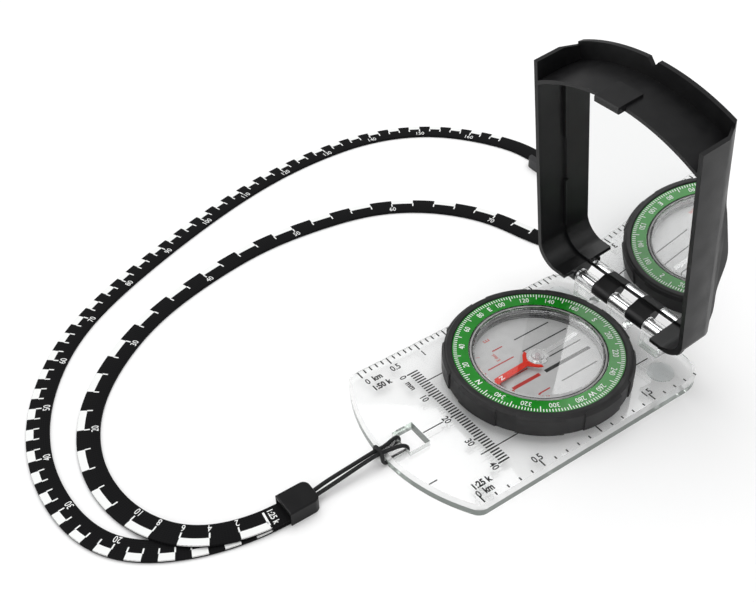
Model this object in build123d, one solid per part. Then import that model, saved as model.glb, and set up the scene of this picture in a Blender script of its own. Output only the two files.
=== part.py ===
from build123d import *
import os
from math import cos, radians, sin

# Baseplate compass with a hinged mirror lid and a wrist lanyard. Millimetres.
# Origin: underside of the baseplate, on the dial's axis. +Y runs to the lid's hinge, +Z is up.
# The lid is drawn standing up, as it is when the compass is opened for sighting.

# ---- baseplate
plate_width = 59.6
plate_thickness = 3.0
plate_rear_y = 38.4
plate_front_corner_y = -44.2
plate_front_y = -53.5
rear_corner_radius = 9.5
front_corner_radius = 3.5
edge_bevel = 1.0
slot_width = 8.4
slot_front_y = -47.4
slot_rear_y = -40.9
cord_relief_width = 5.0
cord_relief_depth = 1.25
pad_radius = 3.8
pad_thickness = 0.8
pad_x = 21.0
pad_y = 28.0

# ---- fits
running_clearance = 0.05
part_gap = 0.1
join_depth = 0.5

# ---- dial, as heights above the underside and radii from its axis
collar_inner_radius = 19.9
collar_outer_radius = 21.4
collar_top_z = 6.2
groove_low_z = 4.2
groove_high_z = 5.2
groove_depth = 0.6
ring_gap = 4.4
bezel_bottom_z = 3.5
bezel_top_z = 10.6
bezel_wall_inner_radius = 24.15
bezel_radius = 26.5
bezel_seat_z = 8.6
bezel_foot_bevel = 0.5
bezel_crown_bevel = 0.9
bezel_lip_bevel = 0.3
grip_pad_height = 0.45
grip_pad_count = 9
grip_pad_span_deg = 28.0
capsule_radius = 19.35
capsule_bore_radius = 18.2
capsule_bottom_z = 4.0
capsule_floor_z = 5.0
pin_socket_depth = 0.7
flange_radius = 24.05
flange_top_z = 9.3
dial_inner_radius = 19.55
dial_inner_z = 9.9
dial_outer_z = 10.1
cover_rim_z = 9.9
cover_top_z = 10.4
cover_flat_radius = 18.0
cover_ceiling_z = 9.5
seal_inner_radius = 18.45
seal_outer_radius = 19.0
seal_depth = 0.35
disc_thickness = 0.6

# ---- needle on its pivot
pin_radius = 0.5
pin_collar_radius = 1.1
pin_tip_z = 7.1
pin_cone_height = 0.9
hub_radius = 3.2
hub_bottom_z = 6.7
hub_disc_top_z = 7.2
hub_dome_radius = 1.9
hub_top_z = 8.1
jewel_radius = 0.8
jewel_seat_radius = 0.35
jewel_seat_gap = 0.03
jewel_bottom_z = 6.75
jewel_top_z = 7.45
blade_thickness = 0.3
blade_bottom_z = 6.8
blade_tip_y = -15.6
blade_width = 2.1
fork_width = 1.0
fork_end_y = -1.5
shoulder_length = 0.6
tail_tip_y = 15.5
tail_width = 1.6
needle_turn_deg = 3.0

# ---- lid hinge
hinge_y = 32.2
hinge_z = plate_thickness + 7.0
lid_lean_deg = 7.0
hinge_pin_radius = 1.5
hinge_pin_half_length = 20.6
knuckle_radius = 2.4
base_knuckles = [(-17.2, -10.3), (-3.4, 3.4), (10.3, 17.2)]
lid_knuckles = [(-10.15, -3.55), (3.55, 10.15)]
lid_end_knuckle = (17.35, 23.0)
arm_front_y = 29.8
arm_rear_y = 34.6

# ---- lid, as x, n (out through its back) and u (away from the hinge) from the hinge axis
lid_half_width = 28.6
lid_wall = 1.3
rim_n = -6.6
rim_top_u = 73.2
back_n = 7.7
back_points = [
    (6.4, 1.9), (7.0, 5.5), (8.4, 10.0), (8.9, 18.5), (11.4, 28.0), (10.8, 34.5), (8.7, 46.0), (back_n, 62.0)
]
back_half_width = 25.4
bevel_start_n = 2.0
arc_centre_u = 17.5
shelf_radius = 57.0
shelf_thickness = 1.1
back_arc_radius = 62.2
lid_bottom_u = 2.9
lid_blank_top_u = 86.0
knuckle_gap_n = 3.2
lid_corner_u = 11.5
lid_corner_x = 22.5
lid_corner_bulge = 0.72
web_outline = [(-2.4, 0.0), (-0.5, 2.35), (2.3, 3.2), (4.6, 3.4), (6.0, 3.4), (6.0, 2.0), (2.2, -1.0)]
end_web_outline = [(-2.4, 0.0), (-2.6, 2.2), (0.6, 3.9), (3.6, 4.4), (6.0, 4.4), (6.0, 2.0), (2.2, -1.0)]
notch_half_width = 1.7
notch_depth = 2.3
latch_half_width = 4.0
latch_reach = 2.3
latch_pad_rear_n = -0.5
latch_top_u = 75.2
latch_bottom_u = 73.2
bevel_wall = 0.9
ledge_n = 2.2
ledge_inner_x = 26.2
ledge_spans = [(13.0, 30.0), (45.0, 66.0)]
mirror_front_n = 2.8
mirror_thickness = 1.2
mirror_inset = 2.1
mirror_arc_radius = 55.6
mirror_pad_thickness = 2.4
mirror_pad_half_width = 17.8
mirror_pad_bottom_u = 44.0
mirror_pad_corner = 3.0

# ---- lanyard
strap_width = 6.4
strap_thickness = 1.0
strap_gap = 0.1
block_front_y = -75.0
block_rear_y = -84.0
block_centre_x = 0.5
block_width = 7.6
block_height = 4.5
block_corner = 2.0
block_wall = 1.2
block_mouth_depth = 4.0
block_edge_round = 0.5
strap_clearance = 0.25
cord_recess_radius = 2.2
cord_radius = 0.5
cord_spacing = 0.75
cord_mouth_z = 2.2
clasp_centre = (-76.5, 75.2)
clasp_tilt_deg = -2.0
socket_length = 15.0
socket_width = 12.4
socket_height = 3.4
socket_corner = 2.5
open_channel_length = 5.0
tunnel_end_x = 0.8
plug_length = 6.0
plug_width = 8.6
plug_height = 3.2
plug_wall = 1.4
prong_length = 6.0
prong_width = 5.0
prong_low_z = 1.2
prong_high_z = 2.4
outer_run_points = [
    (0.5, -81.0), (0.4, -87.0), (-1.2, -98.0), (-6.2, -111.5), (-15.6, -122.9),
    (-37.6, -129.0), (-60.6, -125.3), (-80.2, -114.7), (-96.3, -99.0), (-108.0, -79.4),
    (-117.4, -58.1), (-125.7, -35.5), (-131.9, -12.6), (-134.7, 11.5), (-132.6, 34.7),
    (-122.5, 55.2), (-107.0, 68.2), (-92.0, 74.6), (-84.0, 75.4), (-76.5, 75.2),
]
inner_run_points = [
    (0.5, -81.0), (0.4, -87.0), (-1.6, -97.0), (-7.5, -107.5), (-19.2, -114.8),
    (-40.5, -117.2), (-60.9, -109.8), (-76.6, -95.4), (-88.5, -76.3), (-95.3, -56.0),
    (-99.3, -33.3), (-98.5, -11.4), (-93.2, 10.6), (-80.3, 28.4), (-62.0, 39.4), (-47.5, 43.5),
    (-38.6, 50.0), (-38.0, 60.5), (-46.5, 70.5), (-58.0, 74.4), (-66.3, 74.85),
]

os.makedirs("parts", exist_ok=True)
parts = {}


def ring(outer_radius, inner_radius, low_z, high_z):
    """A plain ring round the dial's axis; an inner radius of 0 makes a disc."""
    profile = Circle(outer_radius)
    if inner_radius > 0:
        profile -= Circle(inner_radius)
    return extrude(Plane.XY.offset(low_z) * profile, high_z - low_z)


def turned(points):
    """A solid of revolution about the dial's axis from (radius, z) corners."""
    outline = make_face(Plane.XZ * Polyline(*points, close=True))
    return revolve(outline, Axis.Z)


def box_between(low, high):
    size = [b - a for a, b in zip(low, high)]
    centre = [(a + b) / 2 for a, b in zip(low, high)]
    return Pos(*centre) * Box(*size)


def rod_x(low_x, high_x, radius, y=0.0, z=0.0):
    """A round bar along X."""
    return Pos((low_x + high_x) / 2, y, z) * Rot(Y=90) * Cylinder(radius, high_x - low_x)


# ---- baseplate with collar, hinge arms and knuckles
def plate_outline():
    left, right = -plate_width / 2, plate_width / 2
    corner_y = plate_front_corner_y
    front = ThreePointArc((left, corner_y), (0, plate_front_y), (right, corner_y))
    sides = Polyline((right, corner_y), (right, plate_rear_y), (left, plate_rear_y), (left, corner_y))
    face = make_face(front + sides)
    corners = face.vertices().sort_by(Axis.Y)
    face = fillet(corners[:2], front_corner_radius)
    return fillet(face.vertices().group_by(Axis.Y)[-1], rear_corner_radius)


def pads(radius):
    pad = Cylinder(radius, pad_thickness, align=(Align.CENTER, Align.CENTER, Align.MIN))
    return [Pos(x, pad_y, 0) * pad for x in (-pad_x, pad_x)]


def baseplate():
    body = extrude(plate_outline(), plate_thickness)
    top = body.edges().group_by(Axis.Z)[-1]
    long_edges = top.filter_by(Axis.Y)
    body = chamfer(long_edges, edge_bevel)
    body -= box_between(
        (-slot_width / 2, slot_front_y, -1),
        (slot_width / 2, slot_rear_y, plate_thickness + 1),
    )
    body -= box_between(
        (-cord_relief_width / 2, plate_front_y - 1, -1),
        (cord_relief_width / 2, slot_front_y + 1, cord_relief_depth),
    )
    for pad in pads(pad_radius):
        body -= pad
    root_z = plate_thickness - join_depth
    collar = ring(collar_outer_radius, collar_inner_radius, root_z, collar_top_z)
    groove_floor = collar_outer_radius - groove_depth
    collar -= ring(collar_outer_radius + 1, groove_floor, groove_low_z - part_gap, groove_high_z + part_gap)
    body += collar
    for low_x, high_x in base_knuckles:
        body += box_between((low_x, arm_front_y, root_z), (high_x, arm_rear_y, hinge_z))
        body += rod_x(low_x, high_x, knuckle_radius, hinge_y, hinge_z)
    bore_half_length = base_knuckles[-1][1] + 1
    bore_radius = hinge_pin_radius + running_clearance
    return body - rod_x(-bore_half_length, bore_half_length, bore_radius, hinge_y, hinge_z)


parts["baseplate"] = baseplate()
parts["grip_pads"] = Compound(children=pads(pad_radius))


# ---- dial: bezel, snap ring, graduated ring and capsule
def bezel_ring():
    flange_inner = collar_outer_radius + running_clearance
    body = turned([
        (flange_inner, bezel_bottom_z),
        (bezel_radius - bezel_foot_bevel, bezel_bottom_z),
        (bezel_radius, bezel_bottom_z + bezel_foot_bevel),
        (bezel_radius, bezel_top_z - bezel_crown_bevel),
        (bezel_radius - bezel_crown_bevel, bezel_top_z),
        (bezel_wall_inner_radius + bezel_lip_bevel, bezel_top_z),
        (bezel_wall_inner_radius, bezel_top_z - bezel_lip_bevel),
        (bezel_wall_inner_radius, bezel_seat_z),
        (flange_inner, bezel_seat_z),
    ])
    groove_outer = collar_outer_radius + groove_depth + 0.2
    body -= ring(groove_outer, flange_inner - join_depth, groove_low_z, groove_high_z)
    pad_ring = turned([
        (bezel_radius - 1.0, bezel_bottom_z + 0.3),
        (bezel_radius + grip_pad_height - 0.3, bezel_bottom_z + 0.3),
        (bezel_radius + grip_pad_height, bezel_bottom_z + 0.7),
        (bezel_radius + grip_pad_height, bezel_top_z - 1.3),
        (bezel_radius - 0.2, bezel_top_z - 0.4),
        (bezel_radius - 1.0, bezel_top_z - 0.4),
    ])
    half = radians(grip_pad_span_deg / 2)
    far_x = 2 * bezel_radius * cos(half)
    far_y = 2 * bezel_radius * sin(half)
    sector = make_face(Polyline((0, 0), (far_x, -far_y), (far_x, far_y), close=True))
    wedge = extrude(Plane.XY.offset(bezel_bottom_z) * sector, bezel_top_z - bezel_bottom_z)
    for i in range(grip_pad_count):
        body += pad_ring & (Rot(Z=360 * i / grip_pad_count) * wedge)
    return body


def retaining_ring():
    """An open snap ring that sits in the bezel's groove and runs in the collar's."""
    outer_radius = collar_outer_radius + groove_depth + 0.1
    inner_radius = collar_outer_radius - groove_depth + 0.15
    body = ring(outer_radius, inner_radius, groove_low_z, groove_high_z - part_gap)
    half_gap = ring_gap / 2
    return body - box_between((-bezel_radius, -half_gap, 0), (0, half_gap, bezel_top_z))


def capsule_body():
    """The clear cup that holds the damping liquid, with the flange that carries the dial ring."""
    body = turned([
        (0, capsule_bottom_z),
        (capsule_radius, capsule_bottom_z),
        (capsule_radius, bezel_seat_z),
        (flange_radius, bezel_seat_z),
        (flange_radius, flange_top_z),
        (capsule_bore_radius, flange_top_z),
        (capsule_bore_radius, capsule_floor_z),
        (0, capsule_floor_z),
    ])
    body -= ring(seal_outer_radius, seal_inner_radius, flange_top_z - seal_depth, flange_top_z + 1)
    return body - ring(pin_radius, 0, capsule_floor_z - pin_socket_depth, capsule_floor_z + 1)


def capsule_cover():
    return turned([
        (0, cover_ceiling_z),
        (capsule_bore_radius - 0.3, cover_ceiling_z),
        (capsule_bore_radius, flange_top_z),
        (dial_inner_radius - part_gap, flange_top_z),
        (dial_inner_radius - part_gap, cover_rim_z),
        (cover_flat_radius, cover_top_z),
        (0, cover_top_z),
    ])


def azimuth_ring():
    return turned([
        (dial_inner_radius, flange_top_z),
        (flange_radius, flange_top_z),
        (flange_radius, dial_outer_z),
        (dial_inner_radius, dial_inner_z),
    ])


parts["bezel_ring"] = bezel_ring()
parts["retaining_ring"] = retaining_ring()
parts["azimuth_ring"] = azimuth_ring()
parts["capsule_body"] = capsule_body()
parts["capsule_cover"] = capsule_cover()
parts["capsule_seal"] = ring(seal_outer_radius, seal_inner_radius, flange_top_z - seal_depth, flange_top_z)
disc_top_z = capsule_floor_z + disc_thickness
parts["orienting_disc"] = ring(
    capsule_bore_radius - part_gap, pin_collar_radius + part_gap, capsule_floor_z, disc_top_z
)


# ---- needle: pin, jewel, hub and blade
def pivot_pin():
    return turned([
        (0, capsule_floor_z - pin_socket_depth),
        (pin_radius, capsule_floor_z - pin_socket_depth),
        (pin_radius, capsule_floor_z),
        (pin_collar_radius, capsule_floor_z),
        (pin_collar_radius, disc_top_z),
        (pin_radius, disc_top_z + 0.4),
        (pin_radius, pin_tip_z - pin_cone_height),
        (0, pin_tip_z),
    ])


def jewel_bearing():
    """A cup with a conical seat that hangs over the pin's point."""
    return turned([
        (0, pin_tip_z + jewel_seat_gap),
        (jewel_seat_radius, jewel_bottom_z),
        (jewel_radius, jewel_bottom_z),
        (jewel_radius, jewel_top_z),
        (0, jewel_top_z),
    ])


def needle_hub():
    """Clear hub: a disc, a dome over the jewel and the plain south half."""
    body = turned([
        (jewel_radius, hub_bottom_z),
        (hub_radius, hub_bottom_z),
        (hub_radius, hub_disc_top_z),
        (hub_dome_radius, hub_disc_top_z),
        (hub_dome_radius - 0.15, hub_top_z - 0.3),
        (hub_dome_radius - 0.6, hub_top_z),
        (0, hub_top_z),
        (0, jewel_top_z),
        (jewel_radius, jewel_top_z),
    ])
    tail_top_z = blade_bottom_z + blade_thickness
    return body + box_between(
        (-tail_width / 2, hub_radius - join_depth, blade_bottom_z),
        (tail_width / 2, tail_tip_y, tail_top_z),
    )


def needle_blade():
    """The north half: a flat bar that forks to hold the hub's disc."""
    fork_radius = hub_radius + fork_width
    fork = Circle(fork_radius) - Circle(hub_radius)
    fork -= Pos(0, fork_radius + fork_end_y) * Rectangle(4 * fork_radius, 2 * fork_radius)
    half = blade_width / 2
    neck = half * 0.9
    shoulder = fork_radius * 0.8
    neck_y = -fork_radius - shoulder_length
    shoulder_y = -hub_radius + join_depth
    bar = make_face(Polyline(
        (-half, blade_tip_y), (half, blade_tip_y), (neck, neck_y), (shoulder, shoulder_y),
        (-shoulder, shoulder_y), (-neck, neck_y), close=True,
    ))
    blade = fork + (bar - Circle(hub_radius))
    return extrude(Plane.XY.offset(blade_bottom_z) * blade, blade_thickness)


parts["pivot_pin"] = pivot_pin()
parts["jewel_bearing"] = jewel_bearing()
parts["needle_hub"] = Rot(Z=needle_turn_deg) * needle_hub()
parts["needle_blade"] = Rot(Z=needle_turn_deg) * needle_blade()


# ---- lid, drawn upright about the hinge axis (x, n, u) and then leaned over
lid_place = Pos(0, hinge_y, hinge_z) * Rot(X=lid_lean_deg)


def prism_along_n(face_xu, low_n, high_n):
    """Extrudes a face drawn in (x, u) through the lid from low_n to high_n."""
    plane = Plane(origin=(0, high_n, 0), x_dir=(1, 0, 0), z_dir=(0, -1, 0))
    return extrude(plane * face_xu, high_n - low_n)


def arc_disc(radius):
    """The disc, in (x, u), whose rim gives the shelf and the lid's top edge their curve."""
    return Pos(0, arc_centre_u) * Circle(radius)


def lid_front_outline(inset):
    """The lid seen from the front, in (x, u), with its rounded lower corners; the top is left high."""
    half = lid_half_width - inset
    side_u = lid_corner_u + inset * 0.5
    corner_x = lid_corner_x - inset
    bottom = lid_bottom_u + inset
    bulge_x = corner_x + (half - corner_x) * lid_corner_bulge
    bulge_u = bottom + (lid_corner_u - lid_bottom_u) * (1 - lid_corner_bulge)
    right = ThreePointArc((corner_x, bottom), (bulge_x, bulge_u), (half, side_u))
    left = ThreePointArc((-half, side_u), (-bulge_x, bulge_u), (-corner_x, bottom))
    sides = Polyline((half, side_u), (half, lid_blank_top_u), (-half, lid_blank_top_u), (-half, side_u))
    base = Line((-corner_x, bottom), (corner_x, bottom))
    return make_face(right + sides + left + base)


def across_lid(outline_nu, low_x, high_x):
    """Extrudes an outline drawn in (n, u) along X."""
    plane = Plane(origin=(low_x, 0, 0), x_dir=(0, 1, 0), z_dir=(1, 0, 0))
    return extrude(plane * make_face(outline_nu), high_x - low_x)


def lid_side_prism(inset, half_width):
    """The lid's side profile in (n, u), extruded across its width; the back swells behind the mirror."""
    back = [(n - inset, u) for n, u in back_points]
    low, high = back[0], back[-1]
    curve = Spline(*back, tangents=[(0.25, 1), (0, 1)])
    front = rim_n - 5 * inset
    rest = Polyline(high, (high[0], lid_blank_top_u), (front, lid_blank_top_u), (front, low[1]), low)
    return across_lid(curve + rest, -half_width, half_width)


def side_bevels(inset):
    """The two wedges that slope the side walls in towards the back."""
    clear = 6.0
    wedge = Polyline(
        (lid_half_width - inset, bevel_start_n),
        (back_half_width - inset, back_n),
        (back_half_width - inset, back_n + clear),
        (lid_half_width + clear, back_n + clear),
        (lid_half_width + clear, bevel_start_n),
        close=True,
    )
    right = extrude(make_face(wedge), lid_blank_top_u + clear)
    return right + mirror(right, Plane.YZ)


def lid_shell():
    """The solid block the lid is hollowed from, and the hollow shell with its top edges cut."""
    block = lid_side_prism(0, lid_half_width) & prism_along_n(lid_front_outline(0), rim_n, back_n + 5)
    block -= side_bevels(0)
    above_rim = Pos(0, rim_top_u + 30) * Rectangle(80, 60)
    outer = block - prism_along_n(above_rim - arc_disc(back_arc_radius), rim_n - 5, back_n + 5)
    outer -= prism_along_n(above_rim, rim_n - 5, back_n - lid_wall)
    inner = lid_side_prism(lid_wall, lid_half_width - lid_wall)
    inner &= prism_along_n(lid_front_outline(lid_wall), rim_n - 6, back_n + 5)
    inner -= side_bevels(bevel_wall)
    return block, outer - inner


def lid_ledges(block):
    """The short ribs down each side wall that the mirror snaps in behind."""
    ribs = None
    for low_u, high_u in ledge_spans:
        right = box_between((ledge_inner_x, ledge_n, low_u), (lid_half_width, mirror_front_n, high_u))
        pair = right + mirror(right, Plane.YZ)
        ribs = pair if ribs is None else ribs + pair
    return ribs & block


def lid_shelf(block):
    """The arched shelf that joins the walls in front of the mirror's top edge."""
    face = arc_disc(shelf_radius) - arc_disc(shelf_radius - shelf_thickness)
    face &= Pos(0, rim_top_u) * Rectangle(2 * lid_half_width, 16)
    return prism_along_n(face, rim_n, back_n - lid_wall / 2) & block


def latch_tab():
    """The tongue on the shelf's front edge; it drops into the plate's slot when the lid is shut."""
    front = rim_n - latch_reach
    rear = latch_pad_rear_n
    profile = Polyline(
        (rear, latch_top_u), (front + 0.3, latch_top_u), (front, latch_top_u - 0.3),
        (front, latch_bottom_u + 0.3), (front + 0.3, latch_bottom_u), (rim_n + 0.6, latch_bottom_u),
        (rim_n + 0.6, latch_bottom_u + 0.6), (rear, latch_bottom_u + 0.6),
        close=True,
    )
    return across_lid(profile, -latch_half_width, latch_half_width)


def sighting_notch():
    flare = notch_half_width + 0.7
    above = 0.95
    notch = make_face(Polyline((-flare, above), (0, -notch_depth), (flare, above), close=True))
    return prism_along_n(Pos(0, arc_centre_u + back_arc_radius) * notch, back_n - 3, back_n + 1)


def lid_knuckle_block():
    """The lid's knuckles, with the webs that join them to its back."""
    low_end, high_end = lid_end_knuckle
    middle = [(low_x, high_x, web_outline) for low_x, high_x in lid_knuckles]
    ends = [(low_end, high_end, end_web_outline), (-high_end, -low_end, end_web_outline)]
    block = None
    for low_x, high_x, outline in middle + ends:
        web = across_lid(Polyline(*outline, close=True), low_x, high_x)
        piece = web + rod_x(low_x, high_x, knuckle_radius)
        block = piece if block is None else block + piece
    return block


def lid_frame():
    block, shell = lid_shell()
    gap_x = lid_end_knuckle[0] - part_gap
    shell -= box_between((-gap_x, rim_n - 1, 0), (gap_x, knuckle_gap_n, lid_corner_u))
    shell += lid_ledges(block)
    shell += lid_shelf(block)
    shell += latch_tab()
    shell -= sighting_notch()
    shell += lid_knuckle_block()
    return shell - rod_x(-hinge_pin_half_length, hinge_pin_half_length, hinge_pin_radius)


def mirror_glass():
    """The mirror fills the lid from wall to wall and follows its rounded corners and arched top."""
    face = lid_front_outline(mirror_inset) & arc_disc(mirror_arc_radius)
    return prism_along_n(face, mirror_front_n, mirror_front_n + mirror_thickness)


def mirror_pad():
    """The foam pad between the mirror's upper half and the lid's back."""
    height = lid_blank_top_u - mirror_pad_bottom_u
    outline = RectangleRounded(2 * mirror_pad_half_width, height, mirror_pad_corner)
    face = Pos(0, mirror_pad_bottom_u + height / 2) * outline & arc_disc(mirror_arc_radius - 4)
    low_n = mirror_front_n + mirror_thickness
    return prism_along_n(face, low_n, low_n + mirror_pad_thickness)


parts["hinge_pin"] = rod_x(-hinge_pin_half_length, hinge_pin_half_length, hinge_pin_radius, hinge_y, hinge_z)
parts["lid_frame"] = lid_place * lid_frame()
parts["mirror"] = lid_place * mirror_glass()
parts["mirror_pad"] = lid_place * mirror_pad()


# ---- lanyard: two strap runs from the end block to the clasp, and the cord round the plate's bar
def strap_run(points, low_z):
    path = Spline(*points)
    return extrude(Plane.XY.offset(low_z) * trace(path, strap_width), strap_thickness)


def strap_end_block():
    """The moulded block: straps enter at the back, and a round recess in front lets the cord swing."""
    mid_y = (block_front_y + block_rear_y) / 2
    length = block_front_y - block_rear_y
    body = Pos(block_centre_x, mid_y, block_height / 2) * Box(block_width, length, block_height)
    front = body.edges().filter_by(Axis.Z).group_by(Axis.Y)[-1]
    body = fillet(front, block_corner)
    body = fillet(body.edges().group_by(Axis.Z)[-1], block_edge_round)
    half_mouth = strap_width / 2 + strap_clearance
    body -= box_between(
        (block_centre_x - half_mouth, block_rear_y - 1, -1),
        (block_centre_x + half_mouth, block_rear_y + block_mouth_depth, block_height - block_wall),
    )
    recess = Cylinder(cord_recess_radius, 2 * cord_radius + 0.6)
    return body - Pos(block_centre_x, block_front_y, cord_mouth_z) * recess


def cord_loop():
    """Two strands from the end block that hitch round the plate's front bar through the slot."""
    clear = cord_radius + 0.15
    over_z = plate_thickness + clear
    under_z = cord_radius + 0.1
    front_y = plate_front_y - clear
    slot_y = slot_front_y + clear
    body = rod_x(-cord_spacing, cord_spacing, cord_radius, front_y, over_z - 1.2)
    for side in (-cord_spacing, cord_spacing):
        path = Polyline(
            (block_centre_x + side, block_front_y - 0.8, cord_mouth_z),
            (side, front_y - 4, over_z),
            (side, slot_y, over_z),
            (side, slot_y, under_z),
            (side, front_y, under_z),
            (side, front_y, over_z - 1.2),
        )
        start = Plane(path @ 0, z_dir=path % 0)
        body += sweep(start * Circle(cord_radius), path, transition=Transition.ROUND)
    return body


clasp_place = Pos(*clasp_centre, 0) * Rot(Z=clasp_tilt_deg)


def clasp_socket():
    """The breakaway clasp's socket, with the outer run's end in its channel."""
    half = socket_length / 2
    body = Pos(0, 0, socket_height / 2) * Box(socket_length, socket_width, socket_height)
    body = fillet(body.edges().filter_by(Axis.Z), socket_corner)
    half_mouth = strap_width / 2 + strap_clearance
    channel_end = -half + open_channel_length
    body -= box_between((-half - 1, -half_mouth, -1), (channel_end, half_mouth, socket_height + 1))
    tunnel_top = strap_thickness + part_gap
    body -= box_between((channel_end - 1, -half_mouth, -1), (tunnel_end_x, half_mouth, tunnel_top))
    half_bore = prong_width / 2 + part_gap
    body -= box_between(
        (half - prong_length - join_depth, -half_bore, prong_low_z - part_gap),
        (half + 1, half_bore, prong_high_z + part_gap),
    )
    return clasp_place * body


def clasp_plug():
    """The clasp's plug: a prong in the socket and a sleeve round the inner run's end."""
    half = socket_length / 2
    near = half + part_gap
    body = box_between((near, -plug_width / 2, 0), (near + plug_length, plug_width / 2, plug_height))
    body += box_between(
        (half - prong_length, -prong_width / 2, prong_low_z),
        (near + join_depth, prong_width / 2, prong_high_z),
    )
    half_mouth = strap_width / 2 + strap_clearance
    sleeve_low = strap_thickness + strap_gap - part_gap
    sleeve_high = sleeve_low + strap_thickness + 2 * part_gap
    body -= box_between(
        (near + plug_wall, -half_mouth, sleeve_low),
        (near + plug_length + 1, half_mouth, sleeve_high),
    )
    return clasp_place * body


parts["strap_end_block"] = strap_end_block()
parts["strap_outer_run"] = strap_run(outer_run_points, 0)
parts["strap_inner_run"] = strap_run(inner_run_points, strap_thickness + strap_gap)
parts["cord_loop"] = cord_loop()
parts["clasp_socket"] = clasp_socket()
parts["clasp_plug"] = clasp_plug()

for name, shape in parts.items():
    export_step(shape, f"parts/{name}.step")
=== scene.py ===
from math import ceil, cos, hypot, pi, radians, sin

import bmesh
import bpy
from mathutils import Matrix, Vector


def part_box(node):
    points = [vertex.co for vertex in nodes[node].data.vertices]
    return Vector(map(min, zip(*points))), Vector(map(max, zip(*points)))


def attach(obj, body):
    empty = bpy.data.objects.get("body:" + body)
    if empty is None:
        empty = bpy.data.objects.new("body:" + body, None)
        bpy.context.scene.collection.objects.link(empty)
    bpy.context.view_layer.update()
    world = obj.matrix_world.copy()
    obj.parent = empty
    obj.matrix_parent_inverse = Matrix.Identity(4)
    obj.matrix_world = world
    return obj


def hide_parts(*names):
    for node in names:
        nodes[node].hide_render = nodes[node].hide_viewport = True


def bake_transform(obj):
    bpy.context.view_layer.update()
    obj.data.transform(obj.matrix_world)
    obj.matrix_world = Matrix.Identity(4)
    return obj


# Finishes, printed scales and soft lanyard for the baseplate compass.
# Lengths are written in millimetres and turned into metres by MM where they are placed.

MM = 0.001
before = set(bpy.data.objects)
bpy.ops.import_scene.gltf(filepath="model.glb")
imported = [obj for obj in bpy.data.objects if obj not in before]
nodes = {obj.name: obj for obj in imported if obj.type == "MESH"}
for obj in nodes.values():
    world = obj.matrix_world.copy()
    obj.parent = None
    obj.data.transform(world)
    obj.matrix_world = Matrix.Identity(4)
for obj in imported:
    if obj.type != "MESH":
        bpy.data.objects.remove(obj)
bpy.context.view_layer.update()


def top_of(node):
    """Height of a CAD part's top, in mm."""
    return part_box(node)[1].z / MM


# ---- materials
def finish(name, colour, roughness=0.5, metallic=0.0, transmission=0.0, refraction=1.5, shine=0.5):
    """A node material with one main shader."""
    material = bpy.data.materials.new(name)
    material.use_nodes = True
    shader = material.node_tree.nodes["Principled BSDF"]
    shader.inputs["Base Color"].default_value = (*colour, 1)
    shader.inputs["Roughness"].default_value = roughness
    shader.inputs["Metallic"].default_value = metallic
    shader.inputs["Transmission Weight"].default_value = transmission
    shader.inputs["IOR"].default_value = refraction
    shader.inputs["Specular IOR Level"].default_value = shine
    return material


def shader_of(material):
    return material.node_tree.nodes["Principled BSDF"]


def noise_field(material, grain_mm, detail=3.0, stretch=(1, 1, 1)):
    """A noise value that varies over grain_mm across the part."""
    tree = material.node_tree
    place = tree.nodes.new("ShaderNodeTexCoord")
    scale = tree.nodes.new("ShaderNodeMapping")
    scale.inputs["Scale"].default_value = [1 / (grain_mm * MM * s) for s in stretch]
    noise = tree.nodes.new("ShaderNodeTexNoise")
    noise.inputs["Scale"].default_value = 1.0
    noise.inputs["Detail"].default_value = detail
    tree.links.new(place.outputs["Object"], scale.inputs["Vector"])
    tree.links.new(scale.outputs["Vector"], noise.inputs["Vector"])
    return noise.outputs["Fac"]


def spread(material, value, low, high, to, from_low=0.3, from_high=0.7):
    """Feeds a 0-1 value, stretched to low-high, into one of the main shader's inputs."""
    tree = material.node_tree
    remap = tree.nodes.new("ShaderNodeMapRange")
    remap.inputs["From Min"].default_value = from_low
    remap.inputs["From Max"].default_value = from_high
    remap.inputs["To Min"].default_value = low
    remap.inputs["To Max"].default_value = high
    tree.links.new(value, remap.inputs["Value"])
    tree.links.new(remap.outputs["Result"], shader_of(material).inputs[to])


def tint(material, value, dark, light):
    """Feeds a 0-1 value, as a blend of two colours, into the base colour."""
    tree = material.node_tree
    ramp = tree.nodes.new("ShaderNodeValToRGB")
    ramp.color_ramp.elements[0].position = 0.35
    ramp.color_ramp.elements[0].color = (*dark, 1)
    ramp.color_ramp.elements[1].position = 0.65
    ramp.color_ramp.elements[1].color = (*light, 1)
    tree.links.new(value, ramp.inputs["Fac"])
    tree.links.new(ramp.outputs["Color"], shader_of(material).inputs["Base Color"])


def bump(material, value, height_mm, strength=1.0):
    tree = material.node_tree
    lift = tree.nodes.new("ShaderNodeBump")
    lift.inputs["Distance"].default_value = height_mm * MM
    lift.inputs["Strength"].default_value = strength
    tree.links.new(value, lift.inputs["Height"])
    tree.links.new(lift.outputs["Normal"], shader_of(material).inputs["Normal"])


def math_node(material, operation, *values):
    """A math node on sockets or plain numbers; gives its output."""
    tree = material.node_tree
    node = tree.nodes.new("ShaderNodeMath")
    node.operation = operation
    for slot, value in enumerate(values):
        if isinstance(value, float):
            node.inputs[slot].default_value = value
        else:
            tree.links.new(value, node.inputs[slot])
    return node.outputs["Value"]


def upward_part(material, vector):
    split = material.node_tree.nodes.new("ShaderNodeSeparateXYZ")
    material.node_tree.links.new(vector, split.inputs["Vector"])
    return split.outputs["Z"]


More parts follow.
